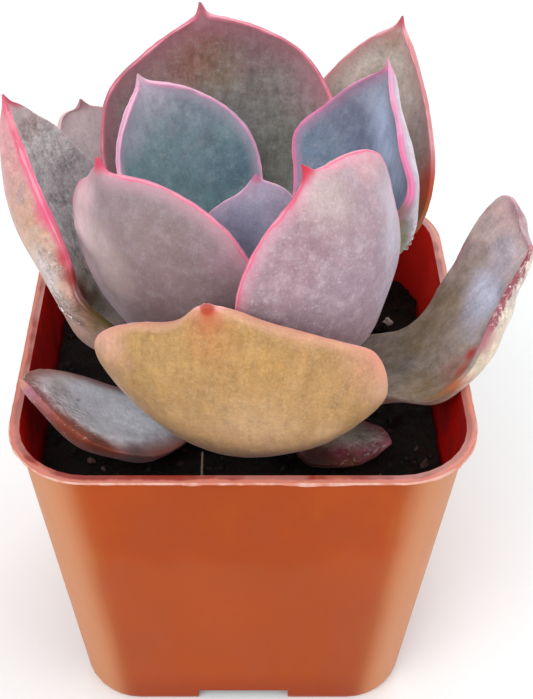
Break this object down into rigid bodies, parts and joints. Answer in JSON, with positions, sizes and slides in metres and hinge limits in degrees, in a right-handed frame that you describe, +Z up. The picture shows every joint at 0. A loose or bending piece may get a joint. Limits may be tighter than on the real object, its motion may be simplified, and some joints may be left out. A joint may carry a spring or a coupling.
{
  "type": "potted rosette succulent",
  "caption": "Small rosette succulent with broad cupped leaves, each ending in a short point, in a square tapered nursery pot with rounded corners.",
  "frame": {"origin": "middle of the bounding box's footprint, on the plane the pot stands on", "axes": "+Z up, -Y towards the picture's viewer, the pot's sides along X and Y"},
  "size_m": [0.0696, 0.0662, 0.095],
  "materials": {
    "pot": "satin terracotta orange",
    "soil": "damp, crumbly, near black",
    "stem": "waxy blue grey",
    "dry_stalk": "dry and dull",
    "leaf_inner_front": "waxy bloom, slate lavender, pale pink margin",
    "leaf_inner_back": "waxy bloom, teal blue grey, pink margin",
    "leaf_inner_right": "waxy bloom, slate blue, hot pink margin",
    "leaf_front_left": "waxy bloom, lavender pink, hot pink margin",
    "leaf_front_right": "waxy bloom, pink mauve, hot pink margin",
    "leaf_back": "waxy bloom, olive grey, rose margin",
    "leaf_back_right": "waxy bloom, olive grey, salmon margin",
    "leaf_front": "fine speckle, ochre tan, salmon margin",
    "leaf_left": "wet, grey inside, cream outside, crimson margin",
    "leaf_back_left": "waxy bloom, pinkish grey",
    "leaf_right": "wet margin, grey olive to blue lavender",
    "leaf_low_left": "waxy bloom, blue grey, rust pink lower margin",
    "leaf_low_right": "waxy, pinkish grey, magenta margin",
    "leaf_low_back": "waxy bloom, pinkish grey"
  },
  "bodies": {
    "root": {"pot": "pot", "soil": "soil", "stem": "stem", "dry_stalk": "dry_stalk", "leaf_inner_front": "leaf_inner_front", "leaf_inner_back": "leaf_inner_back", "leaf_inner_right": "leaf_inner_right", "leaf_front_left": "leaf_front_left", "leaf_front_right": "leaf_front_right", "leaf_back": "leaf_back", "leaf_back_right": "leaf_back_right", "leaf_front": "leaf_front", "leaf_left": "leaf_left", "leaf_back_left": "leaf_back_left", "leaf_right": "leaf_right", "leaf_low_left": "leaf_low_left", "leaf_low_right": "leaf_low_right", "leaf_low_back": "leaf_low_back"}
  },
  "joints": []
}
